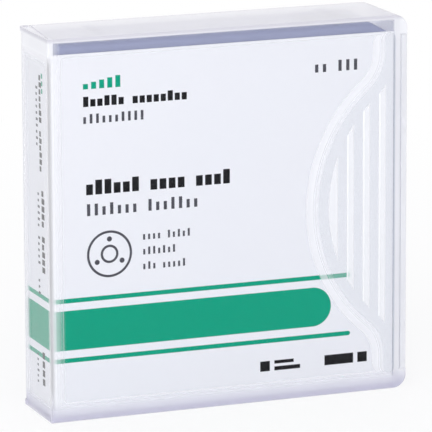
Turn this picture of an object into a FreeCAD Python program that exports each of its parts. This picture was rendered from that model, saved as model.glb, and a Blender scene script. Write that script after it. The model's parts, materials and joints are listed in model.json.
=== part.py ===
# A half-inch data tape cartridge in its clear hinged case, with the folded insert card.
# +X runs from the spine to the opening edge, +Y to the back, +Z up. Millimetres.
# The origin is the middle of the case's foot, on the surface that it stands on.
import FreeCAD, Part
import math
import os
import re

import Sketcher

doc = FreeCAD.newDocument("TapeCase")

# ---------------------------------------------------------------- driving sizes
sizes = {
    "overcut": 1.0,            # how far a cutting shape runs past what it cuts
    "weld": 0.05,              # overlap of shapes that are joined
    # cartridge shell
    "shellLength": 102.0,      # label end to leading end
    "shellWidth": 105.4,       # side to side, upright in the case
    "shellThick": 21.5,        # upper face to lower face
    "shellWall": 2.0,
    "shellCorner": 2.0,        # radius of the shell's upright corners
    "shellEdge": 1.5,          # rounding round the faces
    "bevelRun": 5.8,           # cut corner beside the door, along the length
    "bevelDrop": 3.2,          # the same corner, down the side
    # case
    "caseWall": 1.4,
    "lidWall": 1.3,
    "cardThick": 0.25,
    "fitGap": 0.225,           # between card, shell and back plate
    "spineGap": 1.05,          # card to the label end of the shell
    "toeGap": 3.0,             # leading end of the shell to the case wall
    "sideGap": 0.9,            # side of the shell to the case wall
    "caseCorner": 4.0,         # radius of the opening edge's corners
    "seamGap": 0.2,            # between the lid's edges and the base's
    "caseEdge": 0.5,           # rounding round the case's outer faces
    # lid relief
    "padRise": 0.25,           # grip pad above the border
    "ribRise": 0.35,           # grip ribs above the pad
    "panelDepth": 0.4,         # panel below the border
    "panelMargin": 5.6,        # border above and below the panel
    "panelLeft": 4.0,          # border beside the spine
    "panelBevel": 0.4,
    "panelCorner": 1.2,
    "arcRadius": 44.5,         # big arc of the grip pad
    "arcReach": 17.0,          # its centre, beyond the opening edge
    "slopeWidth": 4.0,         # slope from the panel up to the pad
    "flareRadius": 14.0,       # reverse curve at each end of the arc
    "padNarrow": 2.95,         # width of the pad's two ends
    "padMargin": 3.95,         # opening edge of the case to the pad
    "padEnd": 5.0,             # pad's ends to the case's top and foot
    "ribWidth": 1.9,
    "ribPitch": 4.95,
    "ribInset": 2.8,           # ribs' ends inside the pad's arc
    "ribStart": 30.95,         # first rib's left edge, from the case's middle
    "ribLean": 0.45,           # slope on each flank of a rib
    "cutBack": 2.1,            # lid's opening edge, set back to the base's rim
    "earHeight": 5.6,          # full-width corners above and below the cut-back
    # hinge
    "pinRadius": 0.75,
    "pinSlack": 0.06,
    "postRadius": 1.15,        # upright post that carries both pins
    "pinInset": 1.5,           # hinge line from the spine's outer face and from the back
    "earCorner": 1.4,          # rounding of the lid's corner outside the hinge
    "seamFront": 0.5,          # width of the lid's end flange at the front
    # insert card
    "cardTop": 4.8,            # case's top to the card
    "cardSlack": 0.3,          # card's foot to the case's end wall
    "cardFront": 105.0,        # folded front, from the spine's outer face
    "cardSpine": 20.3,         # folded spine
    # supports in the base
    "railWidth": 3.0,
    "railInset": 14.0,         # rails from the ends of the shell
    "railFront": 2.0,          # rails from the front edge of the base's walls
    "rimLap": 3.0,             # front rim, back along the wall that carries it
    "webReach": 4.0,           # web from the hinge line along the back plate
    "stopHeight": 4.0,
    "stopThick": 0.6,
    "stopLength": 6.0,
    "locatorRadius": 17.4,     # ring that enters the shell's hub opening
    "locatorWall": 1.4,
    "locatorRise": 1.1,
    # reel
    "flangeGap": 0.8,          # flange to the shell's side wall
    "flangeThick": 1.1,
    "hubRadius": 22.0,
    "hubWall": 2.0,
    "tapeWidth": 12.65,
    "tapeSlack": 0.25,         # each side of the tape, between the flanges
    "packInset": 1.35,         # full pack of tape, inside the flange
    "floorThick": 2.2,
    "floorLift": 3.8,          # hub floor's inner face from the tape's lower edge
    "openingRadius": 18.6,     # hub opening in the lower shell
    "lipWall": 1.2,            # lip round that opening, inside
    "lipRise": 0.5,
    "toothCount": 36,
    "clutchInner": 12.0,
    "clutchOuter": 15.5,
    "clutchRise": 1.8,         # ring below its teeth
    "toothHeight": 1.0,
    "toothFoot": 0.24,         # half width at the foot and at the tip, as shares of a pitch
    "toothTip": 0.10,
    "toothRoot": 0.2,          # tooth sunk into its ring
    "ringMargin": 0.6,         # ring past its teeth
    "platesInner": 3.6,        # steel plate on the hub
    "platesOuter": 9.8,
    "plateThick": 0.8,
    # brake
    "brakeInner": 15.4,
    "brakeOuter": 18.4,
    "brakeThick": 2.0,
    "brakeTooth": 0.9,
    "brakeMargin": 0.2,        # disc past its teeth
    "brakeWeb": 1.2,           # disc inside its toothed ring
    "ringRise": 1.2,           # toothed ring above the hub floor
    "toothGap": 0.15,          # between engaged teeth
    "keyPost": 3.8,            # half the width of the shell's square key post
    "keySlack": 0.25,
    "socketRadius": 7.6,
    "brakeNeckRise": 2.6,      # socket's neck above the brake's disc
    "springRadius": 9.6,
    "springWire": 0.7,
    "springTurns": 3,
    "releaseThick": 1.0,
    "releaseRise": 1.6,        # its dome, under the brake
    "releaseRadius": 11.0,
    "footRadius": 1.2,
    "footSlack": 0.25,
    "footProud": 0.4,          # feet past the clutch ring, below its teeth's tips
    "domeRadius": 3.0,
    # door
    "doorLength": 18.0,
    "doorThick": 1.1,
    "doorTravel": 17.0,
    "doorSlack": 0.3,
    "doorSkin": 1.0,           # shell wall left outside the door
    "doorInset": 8.6,          # door's leading end from the leading end of the shell
    "doorLap": 1.2,            # door beyond its opening, all round
    "doorRail": 0.7,
    "doorRailReach": 1.6,
    "doorRoom": 0.8,           # free height under the door
    "doorLip": 0.6,
    "doorLines": 3,            # grip lines across the door
    "doorLineStart": 3.4,
    "doorLinePitch": 1.4,
    "doorLineWidth": 0.7,
    "doorLineDepth": 0.4,
    "doorLineHalf": 4.5,
    "doorSpring": 0.8,         # radius
    "doorWire": 0.25,
    "doorSpringLength": 19.0,
    "doorTurns": 16,
    # leader pin
    "leaderRadius": 1.25,
    "leaderHead": 2.6,
    "leaderHeadThick": 1.0,
    "leaderDrop": 7.4,         # pin's axis from the side of the shell
    "leaderInset": 17.4,       # pin's axis from the leading end
    "leaderLength": 16.4,
    "socketWall": 1.0,
    "socketSlack": 0.15,
    "socketMouth": 12.0,       # the cup's open side, towards the door
    "clipThick": 0.5,
    "clipSlack": 0.05,
    "leaderTape": 0.3,
    "tapeClear": 0.2,          # free length of tape to the turning pack
    # write-protect switch
    "switchTravel": 5.5,
    "switchLength": 6.0,
    "switchWide": 5.0,
    "switchBase": 1.2,
    "switchLow": 9.0,          # switch from the shell's foot
    "switchSlack": 0.2,
    "switchLap": 1.0,          # switch's foot past its knob, all round
    "switchSunk": 0.3,
    "switchNotch": 1.6,
    "switchNotchDepth": 1.1,
    # label recess, screws, chip
    "labelDepth": 0.4,
    "labelMargin": 26.0,
    "labelTop": 5.0,
    "gripCount": 7,            # grooves on each face, by the label end
    "gripStart": 9.0,
    "gripPitch": 2.4,
    "gripWidth": 1.1,
    "gripLength": 46.0,
    "gripDepth": 0.45,
    "notchStart": 12.0,        # picker's notch in each side, from the label end
    "notchLength": 6.0,
    "notchWide": 9.0,
    "notchDepth": 1.1,
    "datumInset": 13.0,        # two locating recesses in the lower face, from the leading end
    "datumDepth": 1.0,
    "datumLength": 6.0,
    "datumWide": 3.6,
    "screwInset": 6.4,
    "screwRadius": 1.1,
    "screwHead": 2.1,
    "screwHeadThick": 1.2,
    "screwBite": 2.0,          # thread past the parting line
    "screwCone": 1.0,
    "screwSlack": 0.1,
    "driveDepth": 0.7,
    "bossRadius": 3.0,
    "chipSide": 8.0,
    "chipThick": 0.6,
    "chipInset": 12.5,
    "chipLow": 2.6,
}

sheet = doc.addObject("Spreadsheet::Sheet", "dims")
for row, (alias, number) in enumerate(sizes.items(), start=1):
    sheet.set("A%d" % row, alias)
    sheet.set("B%d" % row, repr(number))
    sheet.setAlias("B%d" % row, alias)
doc.recompute()

aliasWord = re.compile(r"\b(%s)\b" % "|".join(sorted(sizes, key=len, reverse=True)))


def scoped(expr):
    """An expression on the sheet's aliases, as other objects of the document write it."""
    return aliasWord.sub(r"dims.\1", str(expr))


def num(expr):
    """The value of such an expression now."""
    return float(sheet.evalExpression(aliasWord.sub(r"dims.\1", str(expr))))


# ---------------------------------------------------------------- places, as expressions
caseLength = "(lidWall + cardThick + spineGap + shellLength + toeGap + caseWall)"
caseDepth = "(ribRise + padRise + lidWall + cardThick + 2 * fitGap + shellThick + caseWall)"
caseHeight = "(shellWidth + 2 * sideGap + 2 * caseWall)"
left = "(-%s / 2)" % caseLength
right = "(%s / 2)" % caseLength
front = "(-%s / 2)" % caseDepth
back = "(%s / 2)" % caseDepth
padFace = "(%s + ribRise)" % front
border = "(%s + padRise)" % padFace
lidInner = "(%s + lidWall)" % border
cardInner = "(%s + cardThick)" % lidInner
shellFront = "(%s + fitGap)" % cardInner
shellBack = "(%s + shellThick)" % shellFront
shellMid = "(%s + shellThick / 2)" % shellFront
backInner = "(%s - caseWall)" % back
spineInner = "(%s + lidWall)" % left
shellLeft = "(%s + cardThick + spineGap)" % spineInner
shellRight = "(%s + shellLength)" % shellLeft
shellLow = "(caseWall + sideGap)"
shellHigh = "(%s + shellWidth)" % shellLow
midHeight = "(%s / 2)" % caseHeight
toeInner = "(%s - caseWall)" % right
topInner = "(%s - caseWall)" % caseHeight
hingeX = "(%s + pinInset)" % left
hingeY = "(%s - pinInset)" % back
reelX = "((%s + %s) / 2)" % (shellLeft, shellRight)
reelZ = midHeight
flangeRadius = "(min(shellLength; shellWidth) / 2 - shellWall - flangeGap)"
packRadius = "(%s - packInset)" % flangeRadius
frontWallInner = "(%s + shellWall)" % shellFront     # upper shell's inner face
backWallInner = "(%s - shellWall)" % shellBack       # lower shell's inner face


# ---------------------------------------------------------------- document helpers
def bind(made, prop, expr):
    made.setExpression(prop, scoped(expr))


def place(made, x="0", y="0", z="0"):
    for axis, expr in zip("xyz", (x, y, z)):
        bind(made, "Placement.Base." + axis, expr)
    return made


def box(name, corner, extent):
    made = doc.addObject("Part::Box", name)
    for prop, expr in zip(("Length", "Width", "Height"), extent):
        bind(made, prop, expr)
    return place(made, *corner)


def span(name, low, high):
    """A box between two corners."""
    return box(name, low, ["(%s) - (%s)" % (b, a) for a, b in zip(low, high)])


turns = {"x": ((0, 1, 0), 90), "y": ((1, 0, 0), -90), "z": ((0, 0, 1), 0)}


def rod(name, start, radius, length, along="y"):
    made = doc.addObject("Part::Cylinder", name)
    bind(made, "Radius", radius)
    bind(made, "Height", length)
    direction, angle = turns[along]
    made.Placement.Rotation = FreeCAD.Rotation(FreeCAD.Vector(*direction), angle)
    return place(made, *start)


def fuse(name, pieces):
    made = doc.addObject("Part::MultiFuse", name)
    made.Shapes = pieces
    made.Refine = True
    return made


def cut(name, base, tools):
    made = doc.addObject("Part::Cut", name)
    made.Base = base
    made.Tool = tools[0] if len(tools) == 1 else fuse(name + "Tools", tools)
    made.Refine = True
    return made


def originPlane(body, role):
    return next(item for item in body.Origin.OriginFeatures if item.Role == role)


def outline(body, role, corners):
    """A closed sketch whose corners are bound to the sheet."""
    sketch = body.newObject("Sketcher::SketchObject", body.Name + "Outline")
    sketch.AttachmentSupport = [(originPlane(body, role), "")]
    sketch.MapMode = "FlatFace"
    spots = [FreeCAD.Vector(num(u), num(v), 0) for u, v in corners]
    count = len(spots)
    for i in range(count):
        sketch.addGeometry(Part.LineSegment(spots[i], spots[(i + 1) % count]), False)
    for i in range(count):
        sketch.addConstraint(Sketcher.Constraint("Coincident", i, 2, (i + 1) % count, 1))
    for i, pair in enumerate(corners):
        for kind, letter, expr in zip(("DistanceX", "DistanceY"), "uv", pair):
            index = sketch.addConstraint(Sketcher.Constraint(kind, -1, 1, i, 1, num(expr)))
            sketch.renameConstraint(index, "%s%d" % (letter, i))
            sketch.setExpression("Constraints.%s%d" % (letter, i), scoped(expr))
    return sketch


def roundEdges(body, last, radius, wanted):
    """A fillet on the edges of the last feature that the test picks."""
    names = ["Edge%d" % i for i, edge in enumerate(last.Shape.Edges, start=1) if wanted(edge)]
    made = body.newObject("PartDesign::Fillet", body.Name + "Round")
    made.Base = (last, names)
    bind(made, "Radius", radius)
    body.Tip = made
    doc.recompute()
    return made


def uprightAt(axis, spots):
    """True for straight edges along an axis that pass a spot of the other two coordinates."""
    others = [i for i in range(3) if i != axis]

    def test(edge):
        if edge.Curve.TypeId != "Part::GeomLine":
            return False
        a, b = (v.Point for v in edge.Vertexes)
        if any(abs(a[i] - b[i]) > 1e-4 for i in others):
            return False
        return any(all(abs(a[i] - s) < 1e-3 for i, s in zip(others, spot)) for spot in spots)

    return test


def inPlane(axis, level):
    """True for edges that lie in one plane square to an axis."""
    def test(edge):
        return all(abs(v.Point[axis] - level) < 1e-4 for v in edge.Vertexes)

    return test


def prism(name, role, corners, level, depth):
    """A padded outline: in XZ it grows towards -Y from its level, in XY upwards."""
    body = doc.addObject("PartDesign::Body", name)
    sketch = outline(body, role, corners)
    pad = body.newObject("PartDesign::Pad", name + "Pad")
    pad.Profile = sketch
    bind(pad, "Length", depth)
    sketch.Visibility = False
    place(body, **{"y" if role == "XZ_Plane" else "z": level})
    doc.recompute()
    return body


def turned(name, corners, x, y, z):
    """A profile of (radius, distance along Y) revolved about an axis along Y."""
    body = doc.addObject("PartDesign::Body", name)
    sketch = outline(body, "XY_Plane", corners)
    made = body.newObject("PartDesign::Revolution", name + "Turn")
    made.Profile = sketch
    made.ReferenceAxis = (sketch, ["V_Axis"])
    made.Angle = 360
    sketch.Visibility = False
    place(body, x, y, z)
    doc.recompute()
    return body


def shaped(name, shape, x="0", y="0", z="0", along="z"):
    """A feature with a shape of its own, turned from +Z to an axis and put in its place."""
    made = doc.addObject("Part::Feature", name)
    made.Shape = shape
    direction, angle = turns[along]
    made.Placement = FreeCAD.Placement(FreeCAD.Vector(), FreeCAD.Rotation(FreeCAD.Vector(*direction), angle))
    return place(made, x, y, z)


nodes = []


def node(made, label):
    made.Label = label
    nodes.append(made)
    return made


# ---------------------------------------------------------------- case base
def seamLine(gap):
    """Corners of the seam between the lid's end flange and the base's end wall."""
    return [("%s + seamFront + %s" % (left, gap), lidInner),
            ("%s + %s + %s" % (hingeX, "pinInset", gap), hingeY)]


def caseBase():
    zero = "0"
    wallFront = "(%s + seamGap)" % lidInner
    rounded = [(num(right), 0.0), (num(right), num(caseHeight))]
    block = prism("baseBlock", "XZ_Plane",
                  [(left, zero), (right, zero), (right, caseHeight), (left, caseHeight)],
                  back, "%s - %s" % (back, wallFront))
    done = roundEdges(block, block.Tip, "caseCorner", uprightAt(1, rounded))
    roundEdges(block, done, "caseEdge", inPlane(1, 0.0))
    pocket = prism("basePocket", "XZ_Plane",
                   [("%s - overcut" % left, "caseWall"), (toeInner, "caseWall"), (toeInner, topInner),
                    ("%s - overcut" % left, topInner)], backInner, caseDepth)
    corners = [(num(toeInner), num("caseWall")), (num(toeInner), num(topInner))]
    roundEdges(pocket, pocket.Tip, "caseCorner - caseWall", uprightAt(1, corners))

    # the end walls stop at the seam, which is hollowed round the hinge
    seam = seamLine("seamGap")
    reach = "(%s - 2 * overcut)" % left
    wedge = prism("seamWedge", "XY_Plane",
                  [(reach, "%s - overcut" % front), (seam[0][0], "%s - overcut" % front), seam[0],
                   seam[1], (seam[1][0], "%s + overcut" % back), (reach, "%s + overcut" % back)],
                  "-overcut", "%s + 2 * overcut" % caseHeight)
    around = rod("hingeRoom", (hingeX, hingeY, "-overcut"), "pinInset + seamGap",
                 "%s + 2 * overcut" % caseHeight, "z")
    trimmed = cut("baseTub", block, [pocket, wedge, around])

    # front rim of the opening edge, between the lid's two corners
    rimLeft, rimFront = "(%s - cutBack + seamGap)" % right, "(%s + seamGap)" % border
    rimBack = "(%s + rimLap)" % wallFront
    rim = prism("frontRim", "XY_Plane",
                [(rimLeft, rimFront), (right, rimFront), (right, rimBack), (rimLeft, rimBack)],
                "earHeight + seamGap", "%s - 2 * earHeight - 2 * seamGap" % caseHeight)
    roundEdges(rim, rim.Tip, "caseEdge", uprightAt(2, [(num(right), num(rimFront))]))

    # hinge post with its two pins, on a web from the back plate
    postLow = "(caseWall + seamGap)"
    post = rod("hingePost", (hingeX, hingeY, postLow), "postRadius",
               "%s - 2 * %s" % (caseHeight, postLow), "z")
    pins = rod("hingePins", (hingeX, hingeY, "caseWall / 4"), "pinRadius",
               "%s - caseWall / 2" % caseHeight, "z")
    web = span("hingeWeb", (hingeX, backInner, postLow),
               ("%s + webReach" % hingeX, back, "%s - %s" % (caseHeight, postLow)))

    # rails under, over and beyond the shell
    rails = []
    for i, x in enumerate(("%s + railInset" % shellLeft, "%s - railInset - railWidth" % shellRight)):
        rails.append(span("footRail%d" % i, (x, "%s + railFront" % wallFront, "caseWall / 2"),
                          ("%s + railWidth" % x, backInner, shellLow)))
        rails.append(span("topRail%d" % i, (x, "%s + railFront" % wallFront, "%s + seamGap" % shellHigh),
                          ("%s + railWidth" % x, backInner, "%s - caseWall / 2" % caseHeight)))
    for i, z in enumerate(("%s + railInset" % shellLow, "%s - railInset - railWidth" % shellHigh)):
        rails.append(span("toeRail%d" % i, ("%s + seamGap" % shellRight, "%s + rimLap" % wallFront, z),
                          ("%s - caseWall / 2" % right, backInner, "%s + railWidth" % z)))
    # low stops at the label end, on the end walls
    stopFront = "(%s + shellWall)" % shellFront
    stopX = "(%s - seamGap - stopThick)" % shellLeft
    stopEnd = ("%s + stopThick" % stopX, "%s + stopLength" % stopFront)
    stops = [span("footStop", (stopX, stopFront, "caseWall / 2"), stopEnd + ("caseWall + stopHeight",)),
             span("topStop", (stopX, stopFront, "%s - caseWall - stopHeight" % caseHeight),
                  stopEnd + ("%s - caseWall / 2" % caseHeight,))]

    # ring that enters the shell's hub opening
    locator = turned("hubLocator",
                     [("locatorRadius - locatorWall", "0"), ("locatorRadius", "0"),
                      ("locatorRadius", "locatorRise"),
                      ("locatorRadius - locatorWall", "locatorRise")],
                     reelX, "%s - locatorRise" % backInner, reelZ)
    return node(fuse("caseBase", [trimmed, rim, post, web, pins, locator] + rails + stops), "case_base")


# ---------------------------------------------------------------- lid
def padOutline(grow, sideGrow):
    """Wire of the grip pad in the XZ plane at y = 0, grown towards the panel by one amount
    and towards the opening edge by another. Its left side is the big arc with a reverse
    curve at each end; its ends are round."""
    middle = num(midHeight)
    centreX = num("%s + arcReach" % right)
    main = num("arcRadius") + grow
    flare = num("flareRadius") - grow
    edge = num("%s - padMargin" % right) + sideGrow
    flat = num("%s - padMargin - padNarrow" % right) - grow
    reach = centreX - flat + flare
    rise = math.sqrt((main + flare) ** 2 - reach ** 2)
    share = main / (main + flare)
    joinX = centreX - reach * share
    joinZ = rise * share
    bendX = flat - flare
    endRadius = (edge - flat) / 2
    endZ = middle - num("padEnd") - endRadius + min(grow, sideGrow)
    endX = (edge + flat) / 2
    slant = math.atan2(rise, reach)

    def spot(x, z):
        return FreeCAD.Vector(x, 0, middle + z)

    edges = []
    half = slant / 2
    for sign in (1, -1):
        bend = spot(bendX + flare * math.cos(half), sign * (rise - flare * math.sin(half)))
        turn = Part.Arc(spot(flat, sign * rise), bend, spot(joinX, sign * joinZ))
        cap = Part.Arc(spot(edge, sign * endZ), spot(endX, sign * (endZ + endRadius)),
                       spot(flat, sign * endZ))
        run = Part.LineSegment(spot(flat, sign * endZ), spot(flat, sign * rise))
        edges += [cap.toShape(), run.toShape(), turn.toShape()]
    edges.append(Part.Arc(spot(joinX, joinZ), spot(centreX - main, 0), spot(joinX, -joinZ)).toShape())
    edges.append(Part.LineSegment(spot(edge, endZ), spot(edge, -endZ)).toShape())
    return Part.Wire(Part.__sortEdges__(edges))


def padSolid(wire, level, depth):
    """The area of such a wire, from a level towards -Y."""
    face = Part.Face(wire)
    solid = face.extrude(FreeCAD.Vector(0, -depth, 0))
    solid.translate(FreeCAD.Vector(0, level, 0))
    return solid


def gripPad():
    """Pad with its wide slope down to the panel: a loft between two outlines."""
    low = padOutline(num("slopeWidth"), num("padRise") * 2)
    low.translate(FreeCAD.Vector(0, num("%s + panelDepth" % border), 0))
    high = padOutline(0, 0)
    high.translate(FreeCAD.Vector(0, num(padFace), 0))
    return shaped("gripPad", Part.makeLoft([low, high], True, True))


def gripRibs():
    """Upright ribs, their ends cut along the pad's arc."""
    inset = num("ribInset")
    room = padSolid(padOutline(-inset, 0), num(padFace) + num("overcut"), num("ribRise + 2 * overcut"))
    ribs = []
    for i in range(4):
        x = num("ribStart + %d * ribPitch" % i)
        wide = num("ribWidth")
        lean = num("ribLean")
        foot, crest = num("%s + weld" % padFace), num(front)
        profile = [FreeCAD.Vector(x - lean, foot, 0), FreeCAD.Vector(x, crest, 0),
                   FreeCAD.Vector(x + wide - lean, crest, 0), FreeCAD.Vector(x + wide, foot, 0)]
        if i == 0:
            profile[0].x -= 3 * wide
            profile[1].x -= 3 * wide
        face = Part.Face(Part.makePolygon(profile + profile[:1]))
        ribs.append(face.extrude(FreeCAD.Vector(0, 0, num(caseHeight))).common(room))
    return shaped("gripRibs", Part.makeCompound([s for rib in ribs for s in rib.Solids]))


def panelRecess():
    """What the panel takes out of the border: a bevelled pocket up to the pad's arc."""
    low, high = num("panelMargin"), num("%s - panelMargin" % caseHeight)
    start, end = num("%s + panelLeft" % left), num("%s - padMargin - padNarrow" % right)
    level = num(border)

    def ring(grow, y):
        """Outline with round corners, grown by an amount."""
        radius = num("panelCorner") + grow
        bend = radius * (1 - math.sqrt(0.5))
        corners = [(start - grow, low - grow, 1, 1), (end, low - grow, -1, 1),
                   (end, high + grow, -1, -1), (start - grow, high + grow, 1, -1)]
        arcs = []
        for x, z, across, up in corners:
            arcs.append([FreeCAD.Vector(x, y, z + up * radius),
                         FreeCAD.Vector(x + across * bend, y, z + up * bend),
                         FreeCAD.Vector(x + across * radius, y, z)])
            if across != up:
                arcs[-1].reverse()
        edges = []
        for i, arc in enumerate(arcs):
            edges += [Part.Arc(*arc).toShape(), Part.LineSegment(arc[2], arcs[(i + 1) % 4][0]).toShape()]
        return Part.Wire(edges)

    pocket = Part.makeLoft([ring(0, level + num("panelDepth")), ring(num("panelBevel"), level - num("weld"))],
                           True, True)
    if pocket.Volume < 0:
        pocket.reverse()
    side = num("padMargin + overcut")
    keep = padSolid(padOutline(0, side), level + num("panelDepth + overcut"), num("panelDepth + 2 * overcut"))
    return shaped("panelRecess", pocket.cut(keep))


def caseLid():
    zero = "0"
    plate = prism("frontPlate", "XZ_Plane",
                  [(left, zero), (right, zero), (right, "earHeight"),
                   ("%s - cutBack" % right, "earHeight"),
                   ("%s - cutBack" % right, "%s - earHeight" % caseHeight),
                   (right, "%s - earHeight" % caseHeight), (right, caseHeight), (left, caseHeight)],
                  lidInner, "lidWall")
    corners = [(num(right), 0.0), (num(right), num(caseHeight))]
    done = roundEdges(plate, plate.Tip, "caseCorner", uprightAt(1, corners))
    roundEdges(plate, done, "caseEdge", inPlane(1, -num("lidWall")))

    spineBack = "(%s - pinInset - seamGap)" % hingeY
    spine = span("spineWall", (left, lidInner, zero), (spineInner, spineBack, caseHeight))
    ear = prism("endFlange", "XY_Plane",
                [(left, lidInner), seamLine("0")[0], seamLine("0")[1],
                 (hingeX, hingeY), (hingeX, back), (left, back)],
                zero, "caseWall")
    roundEdges(ear, ear.Tip, "earCorner", uprightAt(2, [(num(left), num(back))]))
    disc = rod("flangeEnd", (hingeX, hingeY, zero), "pinInset", "caseWall", "z")
    lowEnd = fuse("lowFlange", [ear, disc])
    highEnd = doc.addObject("Part::Mirroring", "highFlange")
    highEnd.Source = lowEnd
    highEnd.Normal = FreeCAD.Vector(0, 0, 1)
    bind(highEnd, "Base.z", midHeight)

    # room for the base's end walls, above and below the spine wall
    seam = seamLine("0")
    rooms = []
    for name, level in (("lowRoom", "-overcut"), ("highRoom", "%s - caseWall - seamGap" % caseHeight)):
        rooms.append(prism(name, "XY_Plane",
                           [seam[0], ("%s + %s" % (seam[0][0], caseDepth), seam[0][1]),
                            ("%s + %s" % (seam[0][0], caseDepth), back), (seam[1][0], back), seam[1]],
                           level, "caseWall + seamGap + overcut"))
    hole = rod("pinHoles", (hingeX, hingeY, "-overcut"), "pinRadius + pinSlack",
               "%s + 2 * overcut" % caseHeight, "z")
    blank = cut("lidBlank", fuse("lidWalls", [plate, spine, lowEnd, highEnd]), rooms + [hole])
    relief = cut("lidRelief", blank, [panelRecess()])
    return node(fuse("caseLid", [relief, gripPad(), gripRibs()]), "case_lid")


def insertCard():
    spineFace = "(%s + cardThick)" % spineInner
    low, high = "(caseWall + cardSlack)", "(%s - cardTop)" % caseHeight
    card = prism("insertCard", "XY_Plane",
                 [(spineInner, lidInner), ("%s + cardFront" % left, lidInner),
                  ("%s + cardFront" % left, cardInner), (spineFace, cardInner),
                  (spineFace, "%s + cardSpine" % lidInner), (spineInner, "%s + cardSpine" % lidInner)],
                 low, "%s - %s" % (high, low))
    return node(card, "insert_card")


# ---------------------------------------------------------------- cartridge shells
def shellOutline(inset):
    """Corners of the shell's plan, moved in by an amount, with the cut corner kept parallel."""
    run, drop = num("bevelRun"), num("bevelDrop")
    slantShift = "(%s) * %.9f" % (inset, (math.hypot(run, drop) - run) / drop)
    riseShift = "(%s) * %.9f" % (inset, (math.hypot(run, drop) - drop) / run)
    return [("%s + %s" % (shellLeft, inset), "%s + %s" % (shellLow, inset)),
            ("%s - %s" % (shellRight, inset), "%s + %s" % (shellLow, inset)),
            ("%s - %s" % (shellRight, inset), "%s - bevelDrop - %s" % (shellHigh, riseShift)),
            ("%s - bevelRun - %s" % (shellRight, slantShift), "%s - %s" % (shellHigh, inset)),
            ("%s + %s" % (shellLeft, inset), "%s - %s" % (shellHigh, inset))]


screwSpots = [("(%s + screwInset)" % shellLeft, "(%s + screwInset)" % shellLow),
              ("(%s - screwInset)" % shellRight, "(%s + screwInset)" % shellLow),
              ("(%s - screwInset)" % shellRight, "(%s - 2 * screwInset)" % shellHigh),
              ("(%s + screwInset)" % shellLeft, "(%s - screwInset)" % shellHigh)]
doorHigh = "(%s - doorSkin - doorSlack / 2)" % shellHigh
doorLow = "(%s - doorThick)" % doorHigh
doorRight = "(%s - doorInset)" % shellRight
doorLeft = "(%s - doorLength)" % doorRight
leaderX = "(%s - leaderInset)" % shellRight
leaderZ = "(%s - leaderDrop)" % shellHigh
switchX = "(%s + shellWall)" % shellLeft
switchZ = "(%s + switchLow)" % shellLow


def halfShell(name, faceLevel, upper):
    """A tray from the parting plane to one face."""
    depth = "(shellThick / 2)"
    level = shellMid if upper else faceLevel
    tray = prism(name + "Block", "XZ_Plane", shellOutline("0"), level, depth)
    plan = [(num(x), num(z)) for x, z in shellOutline("0")]
    squares = [plan[0], plan[1], plan[4]]
    slants = [plan[2], plan[3]]
    done = roundEdges(tray, tray.Tip, "shellCorner", uprightAt(1, squares))
    done = roundEdges(tray, done, "shellCorner / 2", uprightAt(1, slants))
    faceY = num("shellThick / 2") if upper else 0.0

    def rim(edge):
        return all(abs(abs(v.Y) - faceY) < 1e-4 for v in edge.Vertexes)

    roundEdges(tray, done, "shellEdge", rim)
    hollowLevel = "(%s + overcut)" % shellMid if upper else backWallInner
    hollow = prism(name + "Hollow", "XZ_Plane", shellOutline("shellWall"), hollowLevel,
                   "%s + overcut - shellWall" % depth)
    return tray, hollow


def sharedCuts(name):
    """Door slot, door opening, switch slot and label recess, cut from both halves."""
    slot = span(name + "DoorRoom",
                ("%s - doorTravel - doorSpringLength - overcut" % doorLeft,
                 "%s + doorSlack" % frontWallInner, "%s - doorRoom" % doorLow),
                ("%s + doorSlack" % doorRight, "%s - doorSlack" % backWallInner,
                 "%s - doorSkin" % shellHigh))
    opening = span(name + "DoorOpening",
                   ("%s + doorLap" % doorLeft, "%s + doorLap + doorLip" % frontWallInner,
                    "%s - shellWall - overcut" % shellHigh),
                   ("%s - doorLap" % doorRight, "%s - doorLap - doorLip" % backWallInner,
                    "%s + overcut" % shellHigh))
    switchSlot = span(name + "SwitchSlot",
                      ("%s - overcut" % shellLeft, "%s - switchWide / 2 - switchSlack" % shellMid,
                       "%s - switchSlack" % switchZ),
                      ("%s + overcut" % switchX, "%s + switchWide / 2 + switchSlack" % shellMid,
                       "%s + switchLength + switchTravel + switchSlack" % switchZ))
    label = span(name + "LabelRecess",
                 ("%s - overcut" % shellLeft, "%s + shellWall" % shellFront, "%s + labelMargin" % shellLow),
                 ("%s + labelDepth" % shellLeft, "%s - shellWall" % shellBack,
                  "%s - labelTop" % shellHigh))
    return [slot, opening, switchSlot, label]


def gripGrooves(name, face):
    """Grooves across a face of the shell, by the label end, that a hand pulls on."""
    middle = "(%s - gripLength / 2)" % midHeight
    return [box("%sGrip%d" % (name, i),
                ("%s + gripStart + %d * gripPitch" % (shellLeft, i), "%s - gripDepth" % face, middle),
                ("gripWidth", "2 * gripDepth", "gripLength"))
            for i in range(int(num("gripCount")))]


def pickerNotches(name):
    """A shallow notch in each side, across the parting line."""
    return [box("%sNotch%d" % (name, i),
                ("%s + notchStart" % shellLeft, "%s - notchWide / 2" % shellMid, "%s - notchDepth" % side),
                ("notchLength", "notchWide", "2 * notchDepth"))
            for i, side in enumerate((shellLow, shellHigh))]


def datumRecesses():
    """Round-ended and square recesses that a drive locates the lower face by."""
    x = "(%s - datumInset)" % shellRight
    level = "(%s - datumDepth)" % shellBack
    low, high = "(%s + datumInset)" % shellLow, "(%s - 2 * datumInset)" % shellHigh
    bar = box("datumBar", (x, level, "%s - datumWide / 2" % low),
              ("datumLength", "2 * datumDepth", "datumWide"))
    ends = [rod("datumEnd%d" % i, ("%s + %s" % (x, reach), level, low), "datumWide / 2", "2 * datumDepth")
            for i, reach in enumerate(("0", "datumLength"))]
    disc = rod("datumRound", (x, level, high), "datumWide / 2", "2 * datumDepth")
    return [bar, disc] + ends


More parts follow.
